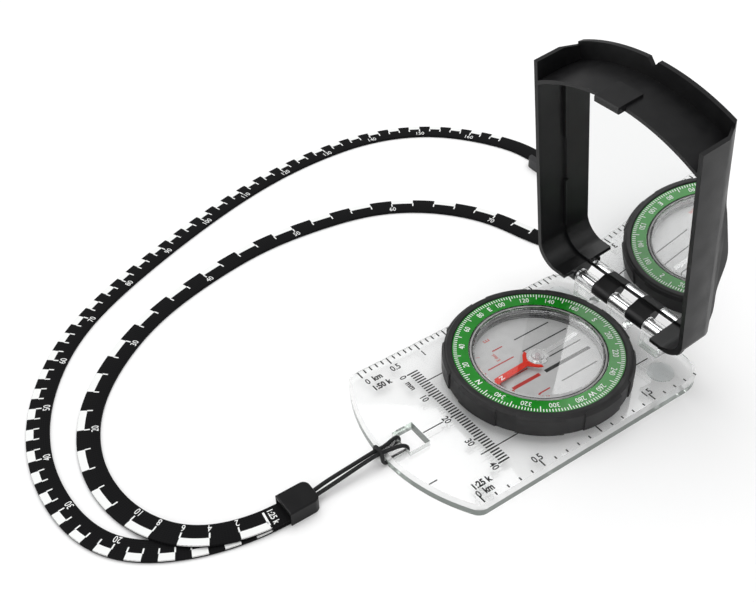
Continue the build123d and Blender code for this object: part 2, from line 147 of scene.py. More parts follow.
def let_lamps_through(material, shade):
    """Light from the lamps passes straight through a clear part, so that it casts only a faint shadow."""
    tree = material.node_tree
    path = tree.nodes.new("ShaderNodeLightPath")
    see_through = tree.nodes.new("ShaderNodeBsdfTransparent")
    see_through.inputs["Color"].default_value = (shade, shade, shade, 1)
    passing = math_node(material, "MAXIMUM", path.outputs["Is Shadow Ray"], path.outputs["Is Diffuse Ray"])
    mix = tree.nodes.new("ShaderNodeMixShader")
    tree.links.new(passing, mix.inputs["Fac"])
    tree.links.new(shader_of(material).outputs["BSDF"], mix.inputs[1])
    tree.links.new(see_through.outputs["BSDF"], mix.inputs[2])
    tree.links.new(mix.outputs["Shader"], tree.nodes["Material Output"].inputs["Surface"])


def clear_plastic(name, colour, roughness, refraction=1.49, transmission=1.0, shade=0.97):
    """Clear plastic; roughness is its lowest and highest value, and shade tints what lies in its shadow."""
    material = finish(name, colour, roughness[0], transmission=transmission, refraction=refraction)
    spread(material, noise_field(material, grain_mm=9.0), *roughness, "Roughness")
    bump(material, noise_field(material, grain_mm=14.0, detail=1.0), height_mm=0.02, strength=0.15)
    let_lamps_through(material, shade)
    return material


def moulded_plastic(name, dark, light, roughness, grain_mm, bump_mm, shine=0.5):
    """Opaque plastic or rubber with a fine grain, between two shades of its colour."""
    material = finish(name, light, shine=shine)
    spread(material, noise_field(material, grain_mm=6.0), *roughness, "Roughness")
    tint(material, noise_field(material, grain_mm=3.0), dark, light)
    bump(material, noise_field(material, grain_mm, detail=2.0), bump_mm, strength=0.6)
    return material


def drawn_metal(name, colour, roughness, stretch):
    """Bare metal with fine lines along the way it was drawn or turned."""
    material = finish(name, colour, roughness, metallic=1.0)
    lines = noise_field(material, grain_mm=0.5, stretch=stretch)
    spread(material, lines, roughness, roughness + 0.14, "Roughness")
    bump(material, lines, height_mm=0.01, strength=0.3)
    return material


def ink(name, colour, roughness=0.55):
    material = finish(name, colour, roughness)
    spread(material, noise_field(material, grain_mm=0.6), roughness - 0.1, roughness + 0.1, "Roughness")
    return material


def satin_edges(material, below_mm, edge_transmission, shaded_edge_colour, top_colour):
    """The sawn edges of a clear plate, below the given height, are less clear than its polished faces, and
    their darker colour is painted shade along the plate's edges.
    """
    tree = material.node_tree
    surface = tree.nodes.new("ShaderNodeNewGeometry")
    place = tree.nodes.new("ShaderNodeTexCoord")
    height = upward_part(material, place.outputs["Object"])
    level = math_node(material, "ABSOLUTE", upward_part(material, surface.outputs["True Normal"]))
    above = math_node(material, "GREATER_THAN", height, below_mm * MM)
    clear = math_node(material, "MAXIMUM", level, above)
    spread(material, clear, edge_transmission, 1.0, "Transmission Weight", from_low=0.72, from_high=0.95)
    # painted shade: the side faces get a darker colour than the top, for the dark line along the plate's
    # edges
    tint(material, clear, shaded_edge_colour, top_colour)


ACRYLIC_TINT = (0.985, 0.99, 0.988)
acrylic = clear_plastic("clear_acrylic", ACRYLIC_TINT, roughness=(0.01, 0.035))
# the darker grey-green edge colour is painted shade, not the plastic's own colour
satin_edges(acrylic, 3.1, 0.62, shaded_edge_colour=(0.5, 0.56, 0.52), top_colour=ACRYLIC_TINT)
capsule_clear = clear_plastic("capsule_clear", (0.99, 0.99, 0.99), roughness=(0.0, 0.02))
hub_clear = clear_plastic("needle_clear", (0.97, 0.97, 0.97), roughness=(0.04, 0.1), transmission=0.88)
jewel_clear = clear_plastic("jewel", (0.88, 0.8, 0.82), roughness=(0.01, 0.03), refraction=1.76)
pad_silicone = clear_plastic(
    "pad_silicone", (0.88, 0.9, 0.9), roughness=(0.3, 0.42), refraction=1.41, transmission=0.6, shade=0.9)

rubber = moulded_plastic(
    "bezel_rubber", dark=(0.016, 0.0155, 0.016), light=(0.023, 0.0225, 0.023),
    roughness=(0.42, 0.58), grain_mm=0.35, bump_mm=0.02, shine=0.3)
seal_rubber = moulded_plastic(
    "seal_rubber", dark=(0.3, 0.3, 0.3), light=(0.42, 0.42, 0.41),
    roughness=(0.5, 0.7), grain_mm=0.3, bump_mm=0.01)
lid_black = moulded_plastic(
    "lid_black", dark=(0.006, 0.006, 0.0065), light=(0.009, 0.009, 0.0095),
    roughness=(0.36, 0.48), grain_mm=0.25, bump_mm=0.012, shine=0.3)
block_black = moulded_plastic(
    "block_black", dark=(0.004, 0.004, 0.0045), light=(0.006, 0.006, 0.0065),
    roughness=(0.38, 0.5), grain_mm=0.3, bump_mm=0.015, shine=0.25)
clasp_grey = moulded_plastic(
    "clasp_grey", dark=(0.02, 0.02, 0.022), light=(0.03, 0.03, 0.032),
    roughness=(0.4, 0.55), grain_mm=0.3, bump_mm=0.015, shine=0.4)
foam = moulded_plastic(
    "mirror_foam", dark=(0.05, 0.05, 0.05), light=(0.09, 0.09, 0.09),
    roughness=(0.8, 0.95), grain_mm=0.4, bump_mm=0.06)
blade_red = moulded_plastic(
    "needle_red", dark=(0.62, 0.02, 0.006), light=(0.7, 0.026, 0.008),
    roughness=(0.35, 0.45), grain_mm=0.3, bump_mm=0.006, shine=0.3)
disc_frosted = moulded_plastic(
    "disc_frosted", dark=(0.5, 0.5, 0.5), light=(0.54, 0.54, 0.54),
    roughness=(0.45, 0.6), grain_mm=0.3, bump_mm=0.01)
dial_green = moulded_plastic(
    "dial_green", dark=(0.0015, 0.19, 0.005), light=(0.002, 0.22, 0.007),
    roughness=(0.26, 0.36), grain_mm=0.4, bump_mm=0.006, shine=0.25)
shader_of(dial_green).inputs["Coat Weight"].default_value = 0.5
shader_of(dial_green).inputs["Coat Roughness"].default_value = 0.12

pin_steel = drawn_metal("pin_steel", (0.75, 0.74, 0.72), 0.14, stretch=(1, 1, 12))
hinge_steel = drawn_metal("hinge_steel", (0.86, 0.86, 0.87), 0.08, stretch=(14, 1, 1))
snap_ring_steel = drawn_metal("snap_ring_steel", (0.62, 0.62, 0.63), 0.2, stretch=(6, 6, 1))
mirror_silver = finish("mirror_silver", (0.86, 0.865, 0.865), 0.0, metallic=1.0)
spread(mirror_silver, noise_field(mirror_silver, grain_mm=12.0), 0.0, 0.012, "Roughness")

black_ink = ink("black_ink", (0.012, 0.012, 0.012))
white_ink = ink("white_ink", (0.84, 0.85, 0.84))
red_ink = ink("red_ink", (0.42, 0.02, 0.015))
pale_ink = ink("pale_ink", (0.55, 0.12, 0.1))


# ---- CAD parts: finish, and softened edges
WELD_MM = 0.002
SHARP_EDGE_DEG = 32
CAD_LOOKS = {
    # node: (finish, slot name, width of its rounded edges in mm)
    "baseplate": (acrylic, "clear_acrylic", 0.2),
    "grip_pads": (pad_silicone, "pad_silicone", 0.15),
    "bezel_ring": (rubber, "bezel_rubber", 0.12),
    "retaining_ring": (snap_ring_steel, "snap_ring_steel", 0.05),
    "azimuth_ring": (dial_green, "dial_green", 0.05),
    "capsule_body": (capsule_clear, "capsule_clear", 0.12),
    "capsule_cover": (capsule_clear, "capsule_clear", 0.15),
    "capsule_seal": (seal_rubber, "seal_rubber", 0.05),
    "orienting_disc": (disc_frosted, "disc_frosted", 0.05),
    "pivot_pin": (pin_steel, "pin_steel", 0.03),
    "jewel_bearing": (jewel_clear, "jewel", 0.04),
    "needle_hub": (hub_clear, "needle_clear", 0.06),
    "needle_blade": (blade_red, "needle_red", 0.04),
    "lid_frame": (lid_black, "lid_black", 0.18),
    "hinge_pin": (hinge_steel, "hinge_steel", 0.2),
    "mirror": (mirror_silver, "mirror", 0.1),
    "mirror_pad": (foam, "mirror_foam", 0.2),
    "strap_end_block": (block_black, "block_black", 0.2),
    "clasp_socket": (clasp_grey, "clasp_grey", 0.25),
    "clasp_plug": (clasp_grey, "clasp_grey", 0.25),
}


def dress(node, material, slot, edge_mm):
    """Gives a CAD part its finish and slightly rounded edges; its own mesh keeps its shape."""
    part = nodes[node]
    part.data.materials.clear()
    part.data.materials.append(material)
    stored_normals = part.data.attributes.get("custom_normal")
    if stored_normals:
        part.data.attributes.remove(stored_normals)
    for face in part.data.polygons:
        face.use_smooth = True
    weld = part.modifiers.new("weld", "WELD")
    weld.merge_threshold = WELD_MM * MM
    edge = part.modifiers.new("edge", "BEVEL")
    edge.width = edge_mm * MM
    edge.segments = 2
    edge.limit_method = "ANGLE"
    edge.angle_limit = radians(SHARP_EDGE_DEG)
    flats = part.modifiers.new("flats", "WEIGHTED_NORMAL")
    flats.weight = 100


for node, look in CAD_LOOKS.items():
    dress(node, *look)


# ---- pieces and the sheets that printed marks lie on
def new_piece(name, shape, material, body=None):
    """Turns a bmesh, in metres, into a piece with one finish; it rides on a CAD body if one is named."""
    bmesh.ops.recalc_face_normals(shape, faces=shape.faces)
    mesh = bpy.data.meshes.new(name)
    shape.to_mesh(mesh)
    shape.free()
    mesh.materials.append(material)
    piece = bpy.data.objects.new(name, mesh)
    bpy.context.scene.collection.objects.link(piece)
    if body:
        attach(piece, body)
    return piece


INK_SINK = 0.01
INK_LIFT = 0.03


def ink_height(level):
    """Level 0 is just below the printed surface, and level 1 just above it."""
    return -INK_SINK + level * (INK_SINK + INK_LIFT)


def flat_at(top):
    """A level surface at the height top."""
    def surface(x, y, level):
        return x, y, top + ink_height(level)
    return surface


CAPITAL_SHARE = 0.73    # height of a capital letter over the font's size


class Marks:
    """Printed marks as thin closed prisms, drawn in mm on a flat sheet and then laid on a surface."""

    def __init__(self):
        self.shape = bmesh.new()

    def patch(self, start, along, across, length, width, steps=1, cross_steps=1):
        """A slab from start, length long in the direction along and width wide in the direction across."""
        grid = {}
        for level in (0, 1):
            for i in range(steps + 1):
                for j in range(cross_steps + 1):
                    a = length * i / steps
                    c = width * j / cross_steps
                    x = start[0] + along[0] * a + across[0] * c
                    y = start[1] + along[1] * a + across[1] * c
                    grid[i, j, level] = self.shape.verts.new((x, y, level))
        for i in range(steps):
            for j in range(cross_steps):
                for level in (0, 1):
                    corners = [(i, j), (i + 1, j), (i + 1, j + 1), (i, j + 1)]
                    self.shape.faces.new([grid[c, d, level] for c, d in corners])
        rim = [(i, 0) for i in range(steps)] + [(steps, j) for j in range(cross_steps)]
        rim += [(i, cross_steps) for i in range(steps, 0, -1)] + [(0, j) for j in range(cross_steps, 0, -1)]
        for here, there in zip(rim, rim[1:] + rim[:1]):
            self.shape.faces.new([grid[(*here, 0)], grid[(*there, 0)], grid[(*there, 1)], grid[(*here, 1)]])

    def stroke(self, start, end, width):
        """A straight line of the given width from start to end."""
        length = hypot(end[0] - start[0], end[1] - start[1])
        along = ((end[0] - start[0]) / length, (end[1] - start[1]) / length)
        across = (-along[1], along[0])
        corner = (start[0] - across[0] * width / 2, start[1] - across[1] * width / 2)
        self.patch(corner, along, across, length, width)

    def words(self, text, at, height, turn=0.0, bold=0.0, narrow=0.85):
        """Words centred on a point; turn is in degrees and height is that of a capital letter."""
        curve = bpy.data.curves.new("words", "FONT")
        curve.body = text
        curve.size = height / CAPITAL_SHARE
        curve.offset = bold
        curve.extrude = 0.5
        curve.resolution_u = 3
        curve.align_x = "CENTER"
        letters = bpy.data.objects.new("words", curve)
        mesh = bpy.data.meshes.new_from_object(letters)
        bpy.data.objects.remove(letters)
        middle = Matrix.Translation((0, -height / 2, 0.5))
        squeeze = Matrix.Diagonal((narrow, 1, 1, 1))
        place = Matrix.Translation((at[0], at[1], 0)) @ Matrix.Rotation(radians(turn), 4, "Z")
        mesh.transform(place @ squeeze @ middle)
        self.shape.from_mesh(mesh)
        bpy.data.meshes.remove(mesh)

    def lay(self, name, material, body, surface):
        """Lays the sheet on a surface; surface(x, y, level) is a point in mm, at level 0 or 1."""
        bmesh.ops.remove_doubles(self.shape, verts=self.shape.verts, dist=0.0005)
        bmesh.ops.recalc_face_normals(self.shape, faces=self.shape.faces)
        for corner in self.shape.verts:
            corner.co = Vector(surface(*corner.co)) * MM
        new_piece(name, self.shape, material, body)


# ---- plate prints: two map scales, a ruler and three meridian lines
PLATE_TOP = 3.0
EDGE_X = 28.5
SCALE_ZERO_Y = -42.1
SCALE_TICK = 0.42
RULER_X = -19.2
RULER_Y = -30.7
RULER_TICK = 0.45
RULER_TICK_TOP = 3.0
MERIDIAN_X = 0.8
MERIDIAN_SPACING = 15.0
MERIDIAN_WIDTH = 0.34
FINE_BOLD = 0.05
HEAVY_BOLD = 0.11


def map_scale(marks, side, tenth, last_tick, last_label, long_reach, short_reach, label_x):
    """A scale along one edge of the plate: a tick each 100 m (tenth, in mm) and a number each 500 m."""
    edge_x = side * EDGE_X
    for i in range(last_tick + 1):
        y = SCALE_ZERO_Y + tenth * i
        reach = short_reach if i % 5 else long_reach
        marks.stroke((edge_x, y), (edge_x - side * reach, y), SCALE_TICK)
    for i in range(1, last_label + 1):
        kilometres = str(i / 2).removesuffix(".0")
        marks.words(kilometres, (label_x, SCALE_ZERO_Y + 5 * tenth * i), height=2.2, turn=90, bold=FINE_BOLD)


def scale_title(marks, title, title_x, title_rise, zero_x, zero_rise):
    """A map scale's title, its zero and its unit, with heights from the scale's zero."""
    marks.words("0", (zero_x, SCALE_ZERO_Y + zero_rise), height=2.1, turn=90, bold=FINE_BOLD)
    marks.words("km", (zero_x, SCALE_ZERO_Y + zero_rise + 3.2), height=2.0, turn=90, bold=HEAVY_BOLD)
    marks.words(title, (title_x, SCALE_ZERO_Y + title_rise), height=2.0, turn=90, bold=HEAVY_BOLD)


def ruler(marks):
    """A 0-40 mm ruler across the plate."""
    top_y = RULER_Y + RULER_TICK_TOP
    text_y = RULER_Y - 2.0
    for i in range(41):
        reach = 3.0 if i % 10 else 3.7
        marks.stroke((RULER_X + i, top_y), (RULER_X + i, top_y - reach), RULER_TICK)
    for i in range(0, 50, 10):
        marks.words(str(i), (RULER_X + i, text_y), height=2.1, bold=FINE_BOLD)
    marks.words("mm", (RULER_X + 3.9, text_y - 0.1), height=1.9, bold=0.07)


def meridian_lines(marks):
    """Lines along the plate; the ruler and the scale's title break the middle and right ones."""
    left_x = MERIDIAN_X - MERIDIAN_SPACING
    right_x = MERIDIAN_X + MERIDIAN_SPACING
    spans = (
        (left_x, RULER_Y + RULER_TICK_TOP, 30.0),
        (MERIDIAN_X, -40.7, -34.0),
        (right_x, -50.0, -47.4),
        (right_x, -33.1, 28.0),
    )
    for x, start_y, end_y in spans:
        marks.stroke((x, start_y), (x, end_y), MERIDIAN_WIDTH)


def plate_print():
    marks = Marks()
    map_scale(marks, -1, tenth=2, last_tick=38, last_label=6, long_reach=2.7, short_reach=1.6, label_x=-24)
    scale_title(marks, "1:50 k", title_x=-20.6, title_rise=2.9, zero_x=-23.9, zero_rise=0.4)
    map_scale(marks, 1, tenth=4, last_tick=19, last_label=3, long_reach=2.4, short_reach=1.0, label_x=25.2)
    scale_title(marks, "1:25 k", title_x=23.0, title_rise=3.1, zero_x=25.5, zero_rise=0.3)
    ruler(marks)
    meridian_lines(marks)
    marks.lay("plate_print", black_ink, "base", flat_at(PLATE_TOP))


plate_print()


# ---- dial prints: 0-360 degrees clockwise, with north at the plate's front
RING_INNER = 19.55
RING_OUTER = 24.05
RING_INNER_Z = 9.9
RING_OUTER_Z = 10.1
TICK_OUTER = 23.75
TICK_WIDTH = 0.26
TICK_LENGTH = 1.0
LONG_TICK_LENGTH = 2.0
DIAL_TEXT_RADIUS = 21.4
POINTS = {0: "N", 90: "E", 180: "S", 270: "W"}


def on_ring(x, radius, level):
    """x is the arc length at TICK_OUTER, clockwise from north."""
    bearing = x / TICK_OUTER
    share = (radius - RING_INNER) / (RING_OUTER - RING_INNER)
    z = RING_INNER_Z + (RING_OUTER_Z - RING_INNER_Z) * share
    return -radius * sin(bearing), -radius * cos(bearing), z + ink_height(level)


def dial_print():
    marks = Marks()
    for degrees in range(0, 360, 2):
        x = radians(degrees) * TICK_OUTER
        between_numbers = degrees % 20 == 10 and degrees not in POINTS
        reach = LONG_TICK_LENGTH if between_numbers else TICK_LENGTH
        marks.stroke((x, TICK_OUTER), (x, TICK_OUTER - reach), TICK_WIDTH)
    for degrees in range(0, 360, 10):
        spot = (radians(degrees) * TICK_OUTER, DIAL_TEXT_RADIUS)
        if degrees in POINTS:
            marks.words(POINTS[degrees], spot, height=1.7, bold=0.03, narrow=1.05)
        elif degrees % 20 == 0:
            marks.words(str(degrees), spot, height=1.75, narrow=0.95)
    marks.lay("dial_print", white_ink, "dial", on_ring)


dial_print()


# ---- capsule floor: orienting lines, black to the south and red to the north, and a declination scale
on_disc = flat_at(top_of("orienting_disc"))
FINE_LINE = 0.42
BOLD_LINE = 1.15
SOUTH_LINES = (
    # x, start y, end y, width
    (-10.2, 0.2, 13.2, FINE_LINE),
    (-5.1, -1.0, 15.6, FINE_LINE),
    (0.9, 2.0, 15.6, FINE_LINE),
    (4.7, -1.2, 15.5, BOLD_LINE),
    (10.2, 0.0, 13.2, FINE_LINE),
)
NORTH_LINES = (
    (-10.2, -7.9, -4.3, FINE_LINE),
    (-5.0, -13.7, -4.4, FINE_LINE),
    (0.9, -15.6, -4.4, FINE_LINE),
    (4.6, -12.9, -3.1, BOLD_LINE),
    (10.2, -8.5, -4.4, FINE_LINE),
)
DECLINATION_RADIUS = 17.6
DECLINATION_TICK = 0.16


def orienting_lines(name, material, lines):
    marks = Marks()
    for x, start_y, end_y, width in lines:
        marks.stroke((x, start_y), (x, end_y), width)
    marks.lay(name, material, "dial", on_disc)


def declination_marks():
    """A fine red scale round north, with its letters."""
    marks = Marks()
    for degrees in range(-40, 41, 2):
        inner = DECLINATION_RADIUS - (0.9 if degrees % 10 else 1.5)
        outward = Vector((-sin(radians(degrees)), -cos(radians(degrees))))
        marks.stroke(outward * DECLINATION_RADIUS, outward * inner, DECLINATION_TICK)
    marks.words("E", (-14.6, -6.6), height=2.0, turn=180, bold=0.04)
    marks.words("W", (7.6, -15.2), height=1.3, turn=180)
    marks.words("E decl.", (-7.7, -8.8), height=1.2, turn=180, bold=0.03, narrow=0.75)
    marks.lay("declination_print", pale_ink, "dial", on_disc)


orienting_lines("orienting_lines", black_ink, SOUTH_LINES)
orienting_lines("orienting_lines_north", red_ink, NORTH_LINES)
declination_marks()


# ---- needle letter
NEEDLE_TURN_DEG = 3.0
NEEDLE_LETTER_RADIUS = 13.7


def needle_letter():
    turn = radians(NEEDLE_TURN_DEG)
    spot = (NEEDLE_LETTER_RADIUS * sin(turn), -NEEDLE_LETTER_RADIUS * cos(turn))
    marks = Marks()
    marks.words("N", spot, height=1.4, turn=180 + NEEDLE_TURN_DEG, bold=0.04, narrow=1.0)
    marks.lay("needle_print", white_ink, "needle", flat_at(top_of("needle_blade")))


needle_letter()


# ---- lanyard strap
STRAP_WIDTH = 6.4
STRAP_THICKNESS = 1.0
STRAP_EDGE = 0.3
PATH_STEP = 1.0
FACES_UP = 0.9
END_CORNER_DEG = 50


def top_rim(node):
    """The rim of a CAD strap's top face as a closed list of points in mm."""
    shape = bmesh.new()
    shape.from_mesh(nodes[node].data)
    bmesh.ops.remove_doubles(shape, verts=shape.verts, dist=1e-6)
    shape.normal_update()
    after = {}
    for face in shape.faces:
        if face.normal.z <= FACES_UP:
            continue
        for loop in face.loops:
            beside = [f for f in loop.edge.link_faces if f is not face and f.normal.z > FACES_UP]
            if not beside:
                after[loop.vert] = loop.link_loop_next.vert
    walk = [next(iter(after))]
    while after[walk[-1]] is not walk[0]:
        walk.append(after[walk[-1]])
    points = [Vector((v.co.x, v.co.y)) / MM for v in walk]
    shape.free()
    return points


def path_length(points):
    return sum((b - a).length for a, b in zip(points, points[1:]))


def side_chains(node):
    """The two long sides of a CAD strap's top face, each as a list of points in mm from the end block."""
    points = top_rim(node)
    count = len(points)
    corners = []
    for i in range(count):
        before = points[i] - points[i - 1]
        ahead = points[(i + 1) % count] - points[i]
        if min(before.length, ahead.length) > 1e-6 and before.angle(ahead) > radians(END_CORNER_DEG):
            corners.append(i)
    runs = []
    for a, b in zip(corners, corners[1:] + [corners[0] + count]):
        runs.append([points[k % count] for k in range(a, b + 1)])
    runs.sort(key=path_length)
    block_low, block_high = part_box("strap_end_block")
    home = Vector(((block_low.x + block_high.x) / 2, block_low.y)) / MM
    chains = []
    for run in runs[-2:]:
        starts_far = (run[0] - home).length > (run[-1] - home).length
        chains.append(run[::-1] if starts_far else run)
    return chains


def nearest_on(chain, point):
    """The point of a chain of straight steps that is nearest to the given point."""
    best = None
    for a, b in zip(chain, chain[1:]):
        step = b - a
        share = max(0.0, min(1.0, (point - a).dot(step) / max(step.length_squared, 1e-12)))
        spot = a + step * share
        if best is None or (spot - point).length < (best - point).length:
            best = spot
    return best


def even_path(points, spacing):
    """The same path with points at even spacing."""
    lengths = [0.0]
    for a, b in zip(points, points[1:]):
        lengths.append(lengths[-1] + (b - a).length)
    count = max(2, ceil(lengths[-1] / spacing))
    result = []
    k = 0
    for i in range(count + 1):
        goal = lengths[-1] * i / count
        while k < len(points) - 2 and lengths[k + 1] < goal:
            k += 1
        share = (goal - lengths[k]) / max(lengths[k + 1] - lengths[k], 1e-9)
        result.append(points[k].lerp(points[k + 1], share))
    return result


def eased(values, reach):
    """A moving average over reach samples on each side."""
    result = []
    for i in range(len(values)):
        near = values[max(0, i - reach):i + reach + 1]
        result.append(sum(near, values[0] * 0) / len(near))
    return result


def strap_centre(node):
    """The strap's centre line: halfway between its long sides, smoothed except at its ends."""
    first, second = side_chains(node)
    middle = [(p + nearest_on(second, p)) / 2 for p in first]
    path = even_path(middle, PATH_STEP)
    smooth = eased(path, 3)
    smooth[:4] = path[:4]
    smooth[-4:] = path[-4:]
    return even_path(smooth, PATH_STEP)


class Strap:
    """A flat strap along a centre line, with a height for each point."""

    def __init__(self, centre, heights):
        self.centre = centre
        self.heights = heights
        self.step = path_length(centre) / (len(centre) - 1)

    def at(self, along):
        """Centre point, leftward direction and height at a distance along the strap."""
        place = max(0.0, min(along / self.step, len(self.centre) - 1.000001))
        i = int(place)
        share = place - i
        centre = self.centre[i].lerp(self.centre[i + 1], share)
        low = self.direction(i)
        high = self.direction(i + 1)
        ahead = low.lerp(high, share).normalized()
        height = self.heights[i] * (1 - share) + self.heights[i + 1] * share
        return centre, Vector((-ahead.y, ahead.x)), height

    def direction(self, i):
        before = self.centre[max(0, i - 1)]
        after = self.centre[min(len(self.centre) - 1, i + 1)]
        return (after - before).normalized()

    def skin(self, along, across, level):
        """A point just off the strap's surface; across runs over the top and on round the edge."""
        centre, left, height = self.at(along)
        flat = STRAP_WIDTH / 2 - STRAP_EDGE
        side = 1 if across >= 0 else -1
        beyond = abs(across) - flat
        lift = ink_height(level)
        quarter = STRAP_EDGE * pi / 2
        if beyond <= 0:
            out = abs(across)
            up = STRAP_THICKNESS + lift
        elif beyond <= quarter:
            turn = beyond / STRAP_EDGE
            out = flat + (STRAP_EDGE + lift) * sin(turn)
            up = STRAP_THICKNESS - STRAP_EDGE + (STRAP_EDGE + lift) * cos(turn)
        else:
            out = flat + STRAP_EDGE + lift
            up = STRAP_THICKNESS - STRAP_EDGE - (beyond - quarter)
        spot = centre + left * side * out
        return spot.x, spot.y, height + up

    def outline(self):
        """The strap's cross-section, (rightward, up), anticlockwise from the lower left."""
        points = []
        for cx, cz, first in ((-1, -1, 180), (1, -1, 270), (1, 1, 0), (-1, 1, 90)):
            centre_x = cx * (STRAP_WIDTH / 2 - STRAP_EDGE)
            centre_z = STRAP_THICKNESS / 2 + cz * (STRAP_THICKNESS / 2 - STRAP_EDGE)
            for turn in (0, 30, 60, 90):
                angle = radians(first + turn)
                points.append((centre_x + STRAP_EDGE * cos(angle), centre_z + STRAP_EDGE * sin(angle)))
        return points

    def build(self, name, material):
        """The strap as a piece, with UVs in mm, across and along it, for the weave."""
        shape = bmesh.new()
        sheet = shape.loops.layers.uv.new("weave")
        section = self.outline()
        rings = []
        for i in range(len(self.centre)):
            centre, left, height = self.at(i * self.step)
            ring = []
            for x, z in section:
                spot = centre - left * x
                ring.append(shape.verts.new(Vector((spot.x, spot.y, height + z)) * MM))
            rings.append(ring)
        count = len(section)
        for i, (a, b) in enumerate(zip(rings, rings[1:])):
            for j in range(count):
                k = (j + 1) % count
                face = shape.faces.new((a[j], a[k], b[k], b[j]))
                face.smooth = True
                for loop, (row, x) in zip(face.loops, ((i, j), (i, k), (i + 1, k), (i + 1, j))):
                    loop[sheet].uv = (section[x][0], row * self.step)
        shape.faces.new(rings[0][::-1])
        shape.faces.new(rings[-1])
        return new_piece(name, shape, material, "lanyard")


def webbing():
    """Black woven tape: fine ribs across it and a looser pattern along it."""
    material = finish("strap_webbing", (0.005, 0.005, 0.0055), 0.85, shine=0.1)
    tree = material.node_tree
    place = tree.nodes.new("ShaderNodeUVMap")
    place.uv_map = "weave"
    ribs = tree.nodes.new("ShaderNodeTexWave")
    ribs.bands_direction = "Y"
    ribs.inputs["Scale"].default_value = 0.42
    ribs.inputs["Distortion"].default_value = 0.6
    threads = tree.nodes.new("ShaderNodeTexWave")
    threads.bands_direction = "X"
    threads.inputs["Scale"].default_value = 0.55
    threads.inputs["Distortion"].default_value = 0.4
    for wave in (ribs, threads):
        tree.links.new(place.outputs["UV"], wave.inputs["Vector"])
    weave = math_node(material, "MULTIPLY", ribs.outputs["Fac"], threads.outputs["Fac"])
    spread(material, weave, 0.62, 0.85, "Roughness", from_low=0.0, from_high=1.0)
    bump(material, weave, height_mm=0.08, strength=0.5)
    return material


OVERLAP_MARGIN = 0.6
PLUG_RUN = 6
strap_webbing = webbing()
outer_centre = strap_centre("strap_outer_run")
inner_centre = strap_centre("strap_inner_run")
inner_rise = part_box("strap_inner_run")[0].z / MM


def inner_heights():
    """The inner run lies on the outer one near the block, then on the table, and rises into the plug."""
    lifts = []
    for i, spot in enumerate(inner_centre):
        apart = (nearest_on(outer_centre, spot) - spot).length
        on_outer = apart < STRAP_WIDTH + OVERLAP_MARGIN
        in_plug = len(inner_centre) - 1 - i < PLUG_RUN
        lifts.append(inner_rise if on_outer or in_plug else 0.0)
    return eased(eased(lifts, 7), 5)


def lay_strap(name, node, centre, heights):
    strap = Strap(centre, heights)
    piece = strap.build(name, strap_webbing)
    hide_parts(node)
    return strap


outer_strap = lay_strap("strap_outer", "strap_outer_run", outer_centre, [0.0] * len(outer_centre))
inner_strap = lay_strap("strap_inner", "strap_inner_run", inner_centre, inner_heights())


# ---- strap scales: along runs from the end block, and across is positive towards the outer edge
STRAP_ZERO = 7.7
ZERO_LINE_WIDTH = 0.6
ZERO_LINE_HALF = 3.1
WHITE_FROM = 1.05
WHITE_TO = 3.35
STRAP_TICK = 0.4
TICK_FROM = -0.45
TICK_INTO_WHITE = 0.1
LABEL_ACROSS = -1.75
LABEL_HEIGHT = 2.05
TITLE_BACK = 1.9
OUTER_UNIT = 1.935
INNER_UNIT = 3.59


def strap_print(name, strap, unit, last_unit, labels):
    """White blocks along the outer edge, a tick at each end of a block, and numbers beside the ticks."""
    marks = Marks()
    along = (1, 0)
    across = (0, 1)
    zero_line = (STRAP_ZERO - ZERO_LINE_WIDTH / 2, -ZERO_LINE_HALF)
    marks.patch(zero_line, along, across, ZERO_LINE_WIDTH, 2 * ZERO_LINE_HALF, cross_steps=4)
    block_length = 2 * unit
    for block in range(0, last_unit, 4):
        corner = (STRAP_ZERO + block * unit, WHITE_FROM)
        marks.patch(corner, along, across, block_length, WHITE_TO - WHITE_FROM, ceil(block_length), 8)
    tick_reach = WHITE_FROM - TICK_FROM + TICK_INTO_WHITE
    for edge in range(2, last_unit + 1, 2):
        corner = (STRAP_ZERO + edge * unit - STRAP_TICK / 2, TICK_FROM)
        marks.patch(corner, along, across, STRAP_TICK, tick_reach)
    for label in labels:
        marks.words(str(label), (STRAP_ZERO + label * unit, LABEL_ACROSS), LABEL_HEIGHT, narrow=0.85)
    marks.words("1:25 k", (STRAP_ZERO - TITLE_BACK, 0), height=1.7, turn=90, bold=0.04)
    marks.lay(name, white_ink, "lanyard", strap.skin)


strap_print("strap_outer_print", outer_strap, OUTER_UNIT, 166, range(10, 161, 10))
strap_print("strap_inner_print", inner_strap, INNER_UNIT, 84, [2, 4, 6, 8, *range(10, 81, 10)])


# ---- cord: hitched round the plate's front bar and tied into the end block
CORD_RADIUS = 0.56
CORD_HALF_PATH = [
    # from the end block over the plate's front edge
    (1.25, -75.8, 2.2), (0.9, -70.0, 2.4), (0.75, -62.0, 3.4), (0.7, -56.0, 4.0), (0.9, -52.0, 3.75),
    # down through the slot and back under the bar
    (1.6, -48.5, 3.7), (2.0, -46.9, 2.6), (2.0, -46.8, 0.9), (1.9, -48.5, 0.6), (1.8, -53.0, 0.6),
    # up in front of the plate and across its own strands
    (1.8, -54.3, 1.5), (1.7, -54.6, 3.2), (1.4, -54.6, 4.6), (0.0, -54.7, 5.15),
]
CORD_END_X = -0.25


def curve_through(points, steps):
    """A smooth curve through the points."""
    ends = [points[0] * 2 - points[1]] + points + [points[-1] * 2 - points[-2]]
    result = []
    for p, a, b, q in zip(ends, ends[1:], ends[2:], ends[3:]):
        for i in range(steps):
            t = i / steps
            bend = a * 2 + (b - p) * t
            bend += (p * 2 - a * 5 + b * 4 - q) * t * t
            bend += (a * 3 - p - b * 3 + q) * t ** 3
            result.append(bend / 2)
    result.append(points[-1])
    return result


